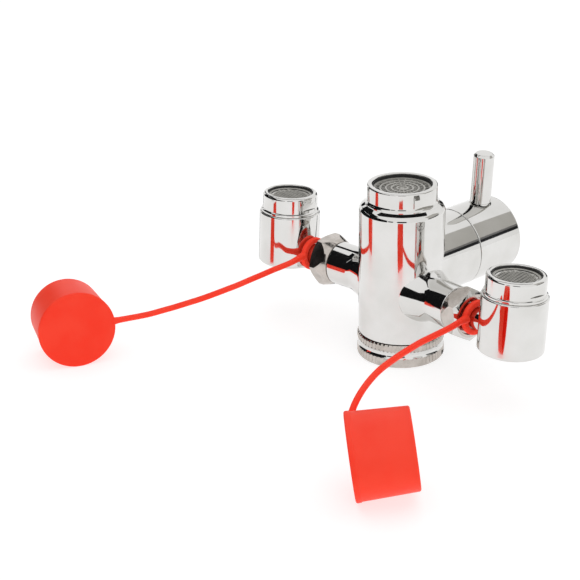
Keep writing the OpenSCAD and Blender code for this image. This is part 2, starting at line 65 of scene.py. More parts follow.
class Side(Enum):
    """The two arms, with the sign of X on each."""

    LEFT = -1
    RIGHT = 1

    @property
    def label(self) -> str:
        """Returns the side's name, as piece names start with it."""
        return self.name.lower()


class Cut(Enum):
    """How a tool shape acts on a piece."""

    JOIN = "UNION"
    REMOVE = "DIFFERENCE"
    COMMON = "INTERSECT"


# ---------- modelling ----------


def deselect_all() -> None:
    """Leaves object mode with nothing selected."""
    if bpy.context.object and bpy.context.object.mode != "OBJECT":
        bpy.ops.object.mode_set(mode="OBJECT")
    bpy.ops.object.select_all(action="DESELECT")


def named(name: str) -> Piece:
    """Names the shape just added and leaves its place in its mesh."""
    obj = bpy.context.object
    obj.name = name
    bpy.ops.object.transform_apply(location=True, rotation=True, scale=True)
    return obj


def spun(degrees: float, axis: str) -> Matrix:
    """Returns a turn about an axis."""
    return Matrix.Rotation(math.radians(degrees), 4, axis)


def make_active(obj: Piece) -> None:
    """Selects one object alone and makes it active."""
    deselect_all()
    obj.select_set(True)
    bpy.context.view_layer.objects.active = obj


def rounded(corners: Sequence[Corner], steps: int = 4) -> list[tuple[float, float]]:
    """Rounds the corners of an outline that give a radius.

    Args:
        corners: (radius, height) or (radius, height, rounding) of each corner.
        steps: straight pieces in each round corner.

    Returns:
        The outline's points as (radius, height).
    """
    points: list[tuple[float, float]] = []
    for i, corner in enumerate(corners):
        here = Vector(corner[:2])
        if len(corner) < 3 or i in (0, len(corners) - 1):
            points.append(tuple(here))
            continue
        before = (Vector(corners[i - 1][:2]) - here).normalized()
        after = (Vector(corners[i + 1][:2]) - here).normalized()
        half = before.angle(after) / 2
        reach = corner[2] / math.tan(half)
        centre = here + (before + after).normalized() * corner[2] / math.sin(half)
        start = here + before * reach - centre
        end = here + after * reach - centre
        for k in range(steps + 1):
            spoke = start.lerp(end, k / steps).normalized() * corner[2]
            points.append(tuple(centre + spoke))
    return points


def turned(
    name: str, corners: Sequence[Corner], ring: bool = False, steps: int = ROUND
) -> Piece:
    """Turns an outline about Z, drawing one circle up and in from the last.

    Args:
        name: the new piece's name.
        corners: the outline, as rounded() takes it, from one end to the other.
        ring: whether the outline closes on itself, as a tube's section does.
        steps: flats round the piece.

    Returns:
        The piece, about the origin, with its place in its mesh.
    """
    outline = rounded(corners)
    deselect_all()
    radius, height = outline[0]
    bpy.ops.mesh.primitive_circle_add(
        vertices=steps,
        radius=radius * MM,
        fill_type="NOTHING" if ring else "NGON",
        location=(0, 0, height * MM),
    )
    obj = named(name)
    bpy.ops.object.mode_set(mode="EDIT")
    for new_radius, new_height in outline[1:]:
        bpy.ops.mesh.extrude_edges_move(
            TRANSFORM_OT_translate={"value": (0, 0, (new_height - height) * MM)}
        )
        scale = new_radius / radius
        bpy.ops.transform.resize(value=(scale, scale, 1), center_override=(0, 0, 0))
        radius, height = new_radius, new_height
    if ring:
        select_edges(obj, lambda edge: edge.is_boundary)
        bpy.ops.mesh.bridge_edge_loops()
    else:
        bpy.ops.mesh.edge_face_add()
    bpy.ops.mesh.select_all(action="SELECT")
    bpy.ops.mesh.remove_doubles(threshold=1e-7)
    bpy.ops.mesh.normals_make_consistent(inside=False)
    bpy.ops.object.mode_set(mode="OBJECT")
    return obj


def select_edges(obj: Piece, test: Callable[[bmesh.types.BMEdge], bool]) -> None:
    """Selects, in edit mode, only the edges that pass a test."""
    bpy.ops.mesh.select_all(action="DESELECT")
    mesh = bmesh.from_edit_mesh(obj.data)
    for edge in mesh.edges:
        if test(edge):
            edge.select_set(True)
    bmesh.update_edit_mesh(obj.data)


def place(obj: Piece, matrix: Matrix) -> Piece:
    """Moves a piece by a matrix and leaves the place in its mesh."""
    make_active(obj)
    obj.matrix_world = matrix
    bpy.ops.object.transform_apply(location=True, rotation=True, scale=True)
    return obj


def apply_modifier(obj: Piece, kind: str, **settings: object) -> None:
    """Adds a modifier with its settings and applies it."""
    make_active(obj)
    modifier = obj.modifiers.new(kind.lower(), kind)
    for key, value in settings.items():
        setattr(modifier, key, value)
    bpy.ops.object.modifier_apply(modifier=modifier.name)


def combine(obj: Piece, tool: Piece, cut: Cut) -> None:
    """Joins, cuts or trims a piece with a tool shape, which is used up."""
    apply_modifier(obj, "BOOLEAN", operation=cut.value, solver="EXACT", object=tool)
    bpy.data.objects.remove(tool)


def block(size: Iterable[float], centre: Iterable[float]) -> Piece:
    """Makes a box as a cutting tool, from its size and centre in millimetres."""
    deselect_all()
    bpy.ops.mesh.primitive_cube_add(size=1, location=Vector(centre) * MM)
    bpy.context.object.scale = Vector(size) * MM
    return named("block")


def smooth(obj: Piece, angle: float) -> None:
    """Shades a piece smooth up to an angle and keeps its flats flat by face area."""
    make_active(obj)
    bpy.ops.object.shade_smooth_by_angle(angle=math.radians(angle))
    apply_modifier(obj, "WEIGHTED_NORMAL", keep_sharp=True, weight=100)


# ---------- finishes ----------


def linear(code: str) -> tuple[float, float, float, float]:
    """Turns an sRGB hex colour into the linear one that shaders take."""
    parts = [int(code[i : i + 2], 16) / 255 for i in (1, 3, 5)]
    red, green, blue = (
        part / 12.92 if part <= 0.04045 else ((part + 0.055) / 1.055) ** 2.4 for part in parts
    )
    return (red, green, blue, 1.0)


def add_node(
    tree: Tree, kind: str, inputs: dict[str, object] | None = None, **settings: object
) -> bpy.types.Node:
    """Adds a shader node.

    Args:
        tree: the material's or world's node tree.
        kind: the node's type name, after ShaderNode.
        inputs: for each input socket, a value, or the output socket that feeds it.
        settings: properties of the node itself.

    Returns:
        The new node.
    """
    node = tree.nodes.new("ShaderNode" + kind)
    for key, value in settings.items():
        setattr(node, key, value)
    for key, value in (inputs or {}).items():
        if isinstance(value, Socket):
            tree.links.new(value, node.inputs[key])
        else:
            node.inputs[key].default_value = value
    return node


@dataclass(frozen=True)
class Finish:
    """What every finish has: a name, a colour, a base roughness and its grain.

    grain_mm is the size of the surface's bumps and grain_depth_mm their height; cloud_mm is
    the size of the soft patches in which gloss and colour vary.
    """

    name: str
    colour: str
    roughness: float
    metallic: float = 0.0
    ior: float = 1.5
    grain_mm: float = 0.5
    grain_depth_mm: float = 0.002
    cloud_mm: float = 8.0
    roughness_spread: float = 0.04
    shade: str = ""
    stretch: tuple[float, float, float] = (1, 1, 1)
    sockets: tuple[tuple[str, float], ...] = ()

    @functools.cache
    def material(self) -> bpy.types.Material:
        """Builds the finish as a material, once."""
        made = bpy.data.materials.new(self.name)
        made.use_nodes = True
        tree = made.node_tree
        tree.nodes.clear()
        spot = add_node(tree, "TexCoord").outputs["Object"]
        cloud = self.noise(tree, spot, self.cloud_mm, 3)
        settings = {"Metallic": self.metallic, "Normal": self.bump(tree, spot)}
        shader = add_node(tree, "BsdfPrincipled", settings)
        # The emission takes the finish's own colour; a finish that sets Emission Strength glows
        # with it as painted light.
        shader.inputs["Emission Color"].default_value = linear(self.colour)
        for socket, value in self.sockets:
            shader.inputs[socket].default_value = value
        if not self.metallic:
            shader.inputs["IOR"].default_value = self.ior
        settings = {
            "Value": cloud, "From Min": 0.3, "From Max": 0.7, "To Min": self.roughness,
            "To Max": self.roughness + self.roughness_spread,
        }
        gloss = add_node(tree, "MapRange", settings)
        tree.links.new(gloss.outputs["Result"], shader.inputs["Roughness"])
        tree.links.new(self.tint(tree, cloud), shader.inputs["Base Color"])
        add_node(tree, "OutputMaterial", {"Surface": shader.outputs["BSDF"]})
        return made

    def noise(self, tree: Tree, spot: Socket, size_mm: float, detail: float) -> Socket:
        """Adds noise whose patches are about size_mm across."""
        mapping = add_node(tree, "Mapping", {"Vector": spot, "Scale": self.stretch})
        settings = {
            "Vector": mapping.outputs["Vector"], "Scale": 1 / (size_mm * MM), "Detail": detail,
        }
        return add_node(tree, "TexNoise", settings).outputs["Fac"]

    def tint(self, tree: Tree, cloud: Socket) -> Socket:
        """Adds the colour, which drifts towards the shade in soft patches."""
        ramp = add_node(tree, "ValToRGB", {"Fac": cloud})
        ramp.color_ramp.elements[0].position = 0.35
        ramp.color_ramp.elements[0].color = linear(self.shade or self.colour)
        ramp.color_ramp.elements[1].position = 0.6
        ramp.color_ramp.elements[1].color = linear(self.colour)
        return ramp.outputs["Color"]

    def bump(self, tree: Tree, spot: Socket) -> Socket:
        """Adds the grain as a bump of its real depth."""
        height = self.noise(tree, spot, self.grain_mm, 2)
        settings = {"Height": height, "Distance": self.grain_depth_mm * MM, "Strength": 1.0}
        return add_node(tree, "Bump", settings).outputs["Normal"]


# Bright chrome plate on buffed brass: a near mirror, with the long soft waves that a
# buffing wheel leaves and faint wiped patches.
CHROME = Finish(
    "bright_chrome_plate", "#DDDCDA", 0.035, 1.0, grain_mm=9, grain_depth_mm=0.0012,
    cloud_mm=14, roughness_spread=0.03, shade="#D5D4D1",
)
# Turned brass with a thin dull chrome: the machining still shows as a soft satin.
SATIN = Finish(
    "satin_chrome_plate", "#C8C1BB", 0.14, 1.0, grain_mm=0.5, grain_depth_mm=0.005,
    cloud_mm=4, roughness_spread=0.12, shade="#B5AEA7",
)
STEEL = Finish(
    "steel_wire", "#A9ABAD", 0.28, 1.0, grain_mm=0.4, grain_depth_mm=0.002, shade="#97999B",
)
BRASS = Finish(
    "machined_brass", "#D9B768", 0.24, 1.0, grain_mm=0.3, grain_depth_mm=0.003, shade="#C9A352",
)
CERAMIC = Finish(
    "lapped_ceramic", "#F1EEE6", 0.15, ior=1.7, grain_mm=0.3, grain_depth_mm=0.0005,
    shade="#EAE6DB",
)
WHITE_PLASTIC = Finish(
    "white_acetal", "#ECEBE8", 0.38, ior=1.48, grain_mm=0.35, grain_depth_mm=0.003,
    shade="#E2E1DD",
)
# Grey acetal, moulded: an even soft sheen over a fine spark-eroded grain.
GREY_PLASTIC = Finish(
    "grey_acetal", "#B4B2AC", 0.4, ior=1.48, grain_mm=0.3, grain_depth_mm=0.006,
    cloud_mm=3, shade="#A3A19B",
)
# A dark copy of the grey plastic: painted shade on the floor under a head's mesh.
PLASTIC_IN_PAINTED_SHADE = Finish(
    "grey_plastic_in_painted_shade", "#454441", 0.42, ior=1.48, grain_mm=0.3, grain_depth_mm=0.006,
    cloud_mm=3, shade="#363533",
)
# Black rubber for the real rubber parts; also used as painted shade on sleeves and in the
# recesses of the jet plates.
RUBBER_AND_PAINTED_SHADE = Finish(
    "nitrile_rubber_and_painted_shade", "#1E1E1F", 0.6, ior=1.52, grain_mm=0.3, grain_depth_mm=0.008,
    shade="#171718",
)
# Moulded silicone, pigmented right through: light enters a little way and comes out
# redder, so edges glow; a small painted glow brightens the red; the mould gave it a satin.
SILICONE = Finish(
    "moulded_silicone", "#FF432D", 0.42, ior=1.41, grain_mm=0.5, grain_depth_mm=0.006,
    cloud_mm=9, roughness_spread=0.1, shade="#FC3A24",
    sockets=(
        ("Subsurface Weight", 0.1), ("Subsurface Scale", 0.0015), ("Specular IOR Level", 0.16),
        # Emission Strength: painted glow that brightens the red.
        ("Emission Strength", 0.08),
    ),
)
# The same silicone where the wall is thin, so more light comes through and it looks paler;
# the paleness is partly painted light: a paler colour and a small painted glow.
SILICONE_WALL = Finish(
    "moulded_silicone_thin", "#FF452E", 0.38, ior=1.41, grain_mm=0.5, grain_depth_mm=0.006,
    cloud_mm=9, roughness_spread=0.1, shade="#FC3F28",
    sockets=(
        ("Subsurface Weight", 0.2), ("Subsurface Scale", 0.002), ("Specular IOR Level", 0.2),
        # Emission Strength: painted glow on the thin wall.
        ("Emission Strength", 0.07),
    ),
)

SLOT_FINISHES: dict[str, Finish] = {
    "chrome": CHROME,
    "satin_chrome": SATIN,
    "spring_steel": STEEL,
    "brass": BRASS,
    "ceramic": CERAMIC,
    "white_plastic": WHITE_PLASTIC,
    "grey_plastic": GREY_PLASTIC,
    "black_rubber": RUBBER_AND_PAINTED_SHADE,
    "red_silicone": SILICONE,
}


def dress(obj: Piece, slot: str, body: str, *nodes: str, angle: float = 32) -> None:
    """Shades a piece, gives it its finish and its body, and hides the CAD nodes it stands for.

    Args:
        obj: the finished piece.
        slot: its material slot, which has a finish of its own.
        body: the body that it rides on.
        nodes: the CAD nodes that it takes the place of.
        angle: edges up to this angle in degrees are shaded smooth; 0 leaves the shading.
    """
    if angle:
        smooth(obj, angle)
    obj.data.materials.clear()
    obj.data.materials.append(SLOT_FINISHES[slot].material())
    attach(obj, body)
    if nodes:
        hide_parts(*nodes)
    LOG.info("%s on %s: %d faces", obj.name, body, len(getattr(obj.data, "polygons", ())))


def paint(obj: Piece, finish: Finish, test: Callable[[Face], bool]) -> None:
    """Gives the faces that pass a test another finish than the rest of their piece."""
    obj.data.materials.append(finish.material())
    for face in obj.data.polygons:
        if test(face):
            face.material_index = len(obj.data.materials) - 1


def dress_frame() -> None:
    """Gives every CAD node the finish of its material slot."""
    for entry in frame["record"]["subparts"]:
        node = frame["nodes"][entry["node"]]
        material = SLOT_FINISHES[entry["material_slot"]].material()
        for slot in node.material_slots:
            slot.material = material
        if not node.material_slots:
            node.data.materials.append(material)


# ---------- where things are ----------


@dataclass(frozen=True)
class Layout:
    """The lines that the sub-assemblies are set out on."""

    arm_z: float = 25.5
    arm_sweep: float = 4.4
    head_reach: float = 53.7
    head_lean: float = 3.6
    valve_z: float = 31.8
    seam_y: float = 26.0
    lever_lean: float = 3.7

    def on_arm(self, side: Side, distance: float) -> Matrix:
        """Returns the frame at a distance out along an arm, with +X outwards."""
        turn = -self.arm_sweep if side is Side.RIGHT else 180 + self.arm_sweep
        return (
            Matrix.Translation((0, 0, self.arm_z * MM))
            @ spun(turn, "Z")
            @ Matrix.Translation((distance * MM, 0, 0))
        )

    def along_arm(self, side: Side, distance: float = 0.0) -> Matrix:
        """Returns the same frame with +Z outwards."""
        return self.on_arm(side, distance) @ spun(90, "Y")

    def on_head(self, side: Side) -> Matrix:
        """Returns the frame of a spray head, with +Z up its axis."""
        lean = spun(-side.value * self.head_lean, "X")
        return self.on_arm(side, self.head_reach) @ lean

    def on_valve(self, distance: float) -> Matrix:
        """Returns the frame at a distance out along the valve, with +Z outwards."""
        centre = Matrix.Translation((0, distance * MM, self.valve_z * MM))
        return centre @ spun(-90, "X")

    def on_lever(self, distance: float) -> Matrix:
        """Returns the valve's frame turned so that -Y runs up the leaning lever."""
        lean = spun(self.lever_lean, "Z")
        return self.on_valve(distance) @ lean


LAYOUT = Layout()


# ---------- sub-assemblies ----------


@dataclass(frozen=True)
class Casting:
    """The chromed body: column, two arms and the valve's stub, brazed into one piece."""

    column_r: float = 14.75
    foot: float = 8.55
    top: float = 55.55
    shoulder_w: float = 2.1
    shoulder_h: float = 1.4
    shoulder_round: float = 2.2
    neck_r: float = 9.3
    neck_foot: float = 5.45
    seat_r: float = 10.9
    seat_depth: float = 8.0
    arm_r: float = 7.6
    arm_len: float = 28.3
    flare: float = 2.8
    flare_len: float = 7.0
    spigot_r: float = 6.2
    spigot_len: float = 3.9
    valve_r: float = 13.75
    stub_end: float = 25.75
    bore_r: float = 10.5
    bore_floor: float = 12.0

    def column(self) -> Piece:
        """Turns the column with its neck, chambers and bevelled shoulder."""
        seat = self.top - self.seat_depth
        return turned("column", [
            (6.8, self.neck_foot), (self.neck_r, self.neck_foot),
            (self.neck_r, self.neck_foot + 0.6), (self.neck_r - 0.6, self.neck_foot + 0.6),
            (self.neck_r - 0.6, self.neck_foot + 1.4), (self.neck_r, self.neck_foot + 1.4),
            (self.neck_r, self.foot), (self.column_r, self.foot, 0.35),
            (self.column_r, self.top - self.shoulder_h, self.shoulder_round),
            (self.column_r - self.shoulder_w, self.top, 0.25), (self.seat_r, self.top),
            (self.seat_r, seat), (self.neck_r, seat), (self.neck_r, 37), (3, 37), (3, 18.7),
            (7.5, 18.7), (7.5, self.foot + 1), (6.8, self.foot + 1),
        ], ring=True)

    def arm(self, side: Side) -> Piece:
        """Turns one arm, flared where it leaves the column."""
        root = self.column_r - 3.2
        arm = turned(f"{side.label}_arm", [
            (self.arm_r + self.flare, 6), (self.arm_r + self.flare, root),
            (self.arm_r, root + self.flare_len, 9.0), (self.arm_r, self.arm_len, 0.35),
            (self.spigot_r, self.arm_len), (self.spigot_r, self.arm_len + self.spigot_len),
            (3.3, self.arm_len + self.spigot_len), (3.3, 20),
        ])
        return place(arm, LAYOUT.along_arm(side))

    def stub(self) -> Piece:
        """Turns the valve's stub with the bore for its cartridge."""
        stub = turned("valve_stub", [
            (self.valve_r, 4), (self.valve_r, self.stub_end, 0.25), (self.bore_r, self.stub_end),
            (self.bore_r, self.bore_floor),
        ])
        return place(stub, LAYOUT.on_valve(0))

    def build(self) -> None:
        """Builds the casting and dresses it."""
        body = self.column()
        for side in Side:
            combine(body, self.arm(side), Cut.JOIN)
        combine(body, self.stub(), Cut.JOIN)
        body.name = "body_casting"
        dress(body, "chrome", "body", "main_body")


@dataclass(frozen=True)
class KnurledNut:
    """The swivel nut at the foot: two fluted bands with a polished groove between."""

    outer_r: float = 15.2
    groove_r: float = 15.05
    hollow_depth: float = 0.5
    low_band: float = 3.3
    groove: float = 2.6
    high_band: float = 2.4
    thread_r: float = 10.5
    thread_pitch: float = 1.0
    room_r: float = 11.2
    neck_r: float = 9.35
    lip: float = 1.2
    flutes: int = 60

    def hollow(self) -> list[Corner]:
        """Returns the hollow curve of the polished groove, from its lower edge up."""
        middle = self.low_band + self.groove / 2
        steps = 16
        return [
            (
                self.groove_r - self.hollow_depth * math.cos(k * math.pi / steps),
                middle + self.groove * k / steps,
            )
            for k in range(-steps // 2, steps // 2 + 1)
        ]

    def outline(self) -> list[Corner]:
        """Returns the nut's section, with the thread's turns as small ridges."""
        height = self.low_band + self.groove + self.high_band
        thread: list[Corner] = []
        for k in range(3):
            z = 3.5 - k * self.thread_pitch
            thread += [(self.thread_r, z), (self.thread_r + 0.45, z - self.thread_pitch / 2)]
        return [
            (self.thread_r + 0.3, 0), (self.outer_r - 0.5, 0), (self.outer_r, 0.45),
            (self.outer_r, self.low_band - 0.2),
            *self.hollow(),
            (self.outer_r, self.low_band + self.groove + 0.2), (self.outer_r, height - 0.5),
            (self.outer_r - 0.5, height), (self.neck_r, height), (self.neck_r, height - self.lip),
            (self.room_r, height - self.lip), (self.room_r, 3.85),
            *thread,
        ]

    def build(self) -> None:
        """Builds the nut, with each flute sunk into the two bands."""
        depth = (0.0, 0.07, 0.22, 0.3, 0.22, 0.07)
        per_flute = len(depth)
        nut = turned("swivel_nut", self.outline(), ring=True, steps=self.flutes * per_flute)
        mesh = bmesh.new()
        mesh.from_mesh(nut.data)
        for vertex in mesh.verts:
            reach = vertex.co.xy.length
            if reach < (self.outer_r - 0.01) * MM:
                continue
            turn = math.atan2(vertex.co.y, vertex.co.x) / math.tau * self.flutes
            step = round(turn % 1 * per_flute) % per_flute
            scale = 1 - depth[step] * MM / reach
            vertex.co.x *= scale
            vertex.co.y *= scale
        mesh.to_mesh(nut.data)
        mesh.free()
        dress(nut, "satin_chrome", "inlet_nut", "inlet_nut", angle=25)
        inner = (self.groove_r - self.hollow_depth - 0.2) * MM
        low, high = self.low_band * MM, (self.low_band + self.groove) * MM
        paint(
            nut, CHROME, lambda face: face.center.xy.length > inner and low < face.center.z < high
        )


@dataclass(frozen=True)
class OutletAerator:
    """The aerator on top of the column: a chromed housing round a ringed jet plate."""

    seat: float = 55.55
    outer_r: float = 12.0
    flange_r: float = 12.62
    cove_r: float = 1.5
    flat_turn: float = -5.5
    flat_depth: float = 0.7
    flat_top: float = 4.3
    height: float = 6.6
    opening_r: float = 10.2
    thread_r: float = 10.8
    thread_len: float = 6.0
    plate_sink: float = 1.5
    sleeve: float = 0.3
    ring_pitch: float = 1.9
    spokes: int = 12

    def cove(self) -> list[Corner]:
        """Returns the hollow curve from the foot's edge up to the wall."""
        reach = self.outer_r + self.cove_r
        steep = math.acos((reach - self.flange_r) / self.cove_r)
        return [
            (
                reach - self.cove_r * math.cos(steep * k / 6),
                self.seat + self.cove_r * (1 - math.sin(steep * k / 6)),
            )
            for k in range(6, -1, -1)
        ]

    def housing(self) -> Piece:
        """Turns the housing and mills its two spanner flats."""
        top = self.seat + self.height
        step = top - self.plate_sink - 0.6
        housing = turned("outlet_housing_shell", [
            (8.2, self.seat - self.thread_len), (self.thread_r, self.seat - self.thread_len),
            (self.thread_r, self.seat), (self.flange_r, self.seat), *self.cove(),
            (self.outer_r, top, 0.5), (self.opening_r, top, 0.25), (self.opening_r, step),
            (9.35, step), (9.35, self.seat - self.thread_len + 1.4),
            (8.2, self.seat - self.thread_len + 1.4),
        ], ring=True)
        for sign in (-1, 1):
            low = self.seat + self.cove_r * 0.6
            high = self.seat + self.flat_top
            tool = block(
                (4, 14, high - low),
                (sign * (self.outer_r - self.flat_depth + 2), 0, (low + high) / 2),
            )
            place(tool, spun(self.flat_turn, "Z"))
            combine(housing, tool, Cut.REMOVE)
        return housing

    def plate(self) -> Piece:
        """Turns the jet plate with its rings and lays spokes across the grooves."""
        top = self.seat + self.height - self.plate_sink
        outline: list[Corner] = [(0.7, top - 0.25)]
        rings = 4
        for k in range(1, rings + 1):
            r = k * self.ring_pitch
            outline += [
                (r - 0.45, top - 0.8), (r - 0.4, top - 0.15), (r + 0.2, top - 0.15),
                (r + 0.25, top - 0.8),
            ]
        outline += [
            (9.0, top - 0.8), (9.1, top), (self.opening_r - self.sleeve, top),
            (self.opening_r - self.sleeve, top + self.plate_sink - 0.5),
            (self.opening_r - 0.05, top + self.plate_sink - 0.5),
            (self.opening_r - 0.05, top - 0.6), (9.3, top - 0.6), (9.3, self.seat - 2.6),
            (1, self.seat - 2.6),
        ]
        plate = turned("outlet_jet_plate", outline, steps=96)
        spokes = []
        for k in range(self.spokes * 2):
            inner = 1.0 if k % 2 else 4.2
            spoke = block((9.0 - inner, 0.32, 0.5), ((9.0 + inner) / 2, 0, top - 0.58))
            angle = Matrix.Rotation((k + 0.5) * math.pi / self.spokes, 4, "Z")
            spokes.append(place(spoke, angle))
        deselect_all()
        for spoke in spokes:
            spoke.select_set(True)
        plate.select_set(True)
        bpy.context.view_layer.objects.active = plate
        bpy.ops.object.join()
        return plate

    def build(self) -> None:
        """Builds and dresses the housing and the jet plate."""
        dress(self.housing(), "chrome", "body", "outlet_housing")
        plate = self.plate()
        dress(plate, "grey_plastic", "body", "outlet_insert")
        top = (self.seat + self.height - self.plate_sink) * MM
        sleeve = (self.opening_r - self.sleeve - 0.05) * MM
        hub, deep = 0.9 * MM, top - 0.7 * MM

        def dark(face: Face) -> bool:
            """Tells whether a face is on the sleeve or at the bottom of a groove, where shade is
            painted.
            """
            reach, height = face.center.xy.length, face.center.z
            return (reach > sleeve and height > top) or (reach > hub and height < deep)

        # Painted shade: the sleeve along the inner wall and the groove bottoms get the black
        # rubber finish.
        paint(plate, RUBBER_AND_PAINTED_SHADE, dark)


@dataclass(frozen=True)
class Lever:
    """The diverter's lever: a drum on the spindle with a rod screwed into it."""

    drum_r: float = 13.75
    drum_len: float = 20.9
    edge: float = 0.8
    recess_r: float = 11.25
    recess: float = 2.0
    socket_r: float = 4.1
    socket: float = 8.8
    rod_y: float = 12.8
    rod_r: float = 3.7
    rod_tip: float = 32.4
    rod_seat: float = 12.45
    grub_y: float = 5.0
    grub_r: float = 2.05

    def build(self) -> None:
        """Builds and dresses the drum and the rod."""
        drum = turned("lever_drum", [
            (self.socket_r, self.socket), (self.socket_r, self.recess),
            (self.recess_r, self.recess), (self.recess_r, 0), (self.drum_r, 0, 0.3),
            (self.drum_r, self.drum_len, self.edge), (5, self.drum_len),
        ])
        place(drum, LAYOUT.on_lever(LAYOUT.seam_y))
        for distance, radius, low, high in (
            (self.rod_y, self.rod_r + 0.25, self.rod_seat + 0.3, self.drum_r + 3),
            (self.grub_y, self.grub_r, -self.drum_r - 3, -5),
        ):
            hole = turned("hole", [(radius, low), (radius, high)], steps=64)
            upright = spun(90, "X")
            place(hole, LAYOUT.on_lever(LAYOUT.seam_y + distance) @ upright)
            combine(drum, hole, Cut.REMOVE)
        dress(drum, "chrome", "lever", "lever_cap")
        rod = turned("lever_rod_turned", [
            (2.5, 6.4), (2.5, self.rod_seat), (self.rod_r - 0.35, self.rod_seat),
            (self.rod_r - 0.35, self.drum_r + 0.35), (self.rod_r, self.drum_r + 0.55, 0.15),
            (self.rod_r, self.rod_tip - 0.8, 0.3), (self.rod_r - 0.8, self.rod_tip, 0.3),
            (1, self.rod_tip),
        ], steps=96)
        upright = spun(90, "X")
        place(rod, LAYOUT.on_lever(LAYOUT.seam_y + self.rod_y) @ upright)
        dress(rod, "chrome", "lever", "lever_rod")


@dataclass(frozen=True)
class Union:
    """A hexagonal union nut and the stem that turns in it.

    turn is how far the nut is screwed round, in degrees; collar is the length of the cone
    towards the column.
    """

    side: Side
    turn: float = 0.0
    start: float = 28.4
    length: float = 7.5
    across: float = 16.5
    chamfer: float = 1.25
    chamfer_w: float = 0.75
    collar: float = 4.4
    bore_r: float = 3.75
    thread_r: float = 6.25
    thread_end: float = 34.1
    mouth_r: float = 6.3
    mouth: float = 0.9
    stem_r: float = 3.7
    stem_bore_r: float = 2.3
    stem_start: float = 33.05
    stem_end: float = 45.25

    def nut(self) -> Piece:
        """Builds the hexagon, chamfers its corners and bores it."""
        corner_r = self.across / 2 / math.cos(math.radians(30))
        deselect_all()
        bpy.ops.mesh.primitive_cylinder_add(
            vertices=6,
            radius=corner_r * MM,
            depth=self.length * MM,
            location=(0, 0, self.length / 2 * MM),
            rotation=(0, 0, math.radians(90 + self.turn)),
        )
        nut = named(f"{self.side.label}_union_hexagon")
        flat_r = self.across / 2 - self.chamfer_w
        trim = turned("trim", [
            (flat_r + 0.2, 0), (corner_r + 0.05, self.collar),
            (corner_r + 0.05, self.length - self.chamfer), (flat_r, self.length),
        ])
        combine(nut, trim, Cut.COMMON)
        apply_modifier(
            nut, "BEVEL", width=0.18 * MM, segments=2, limit_method="ANGLE",
            angle_limit=math.radians(25),
        )
        lip = self.thread_end - self.start
        mouth = self.length - self.mouth
        bore = turned("bore", [
            (self.thread_r, -1), (self.thread_r, lip), (self.bore_r, lip), (self.bore_r, mouth),
            (self.mouth_r, mouth), (self.mouth_r + 0.3, self.length + 0.1),
        ])
        combine(nut, bore, Cut.REMOVE)
        return place(nut, LAYOUT.along_arm(self.side, self.start))

    def stem(self) -> Piece:
        """Turns the stem tube with the flange that the nut holds."""
        stem = turned(f"{self.side.label}_stem_tube", [
            (self.stem_bore_r, self.stem_start), (self.thread_r - 0.3, self.stem_start),
            (self.thread_r - 0.3, self.stem_start + 1), (self.stem_r, self.stem_start + 1),
            (self.stem_r, self.stem_end), (self.stem_bore_r, self.stem_end),
        ], ring=True, steps=96)
        return place(stem, LAYOUT.along_arm(self.side))

    def build(self) -> None:
        """Builds and dresses the nut and the stem."""
        label = self.side.label
        nut = self.nut()
        dress(nut, "satin_chrome", "body", f"{label}_union_nut", angle=28)
        axis = LAYOUT.along_arm(self.side).to_3x3() @ Vector((0, 0, 1))
        paint(nut, CHROME, lambda face: 0.3 < face.normal.dot(axis) < 0.95)
        dress(self.stem(), "chrome", f"{label}_head", f"{label}_stem")


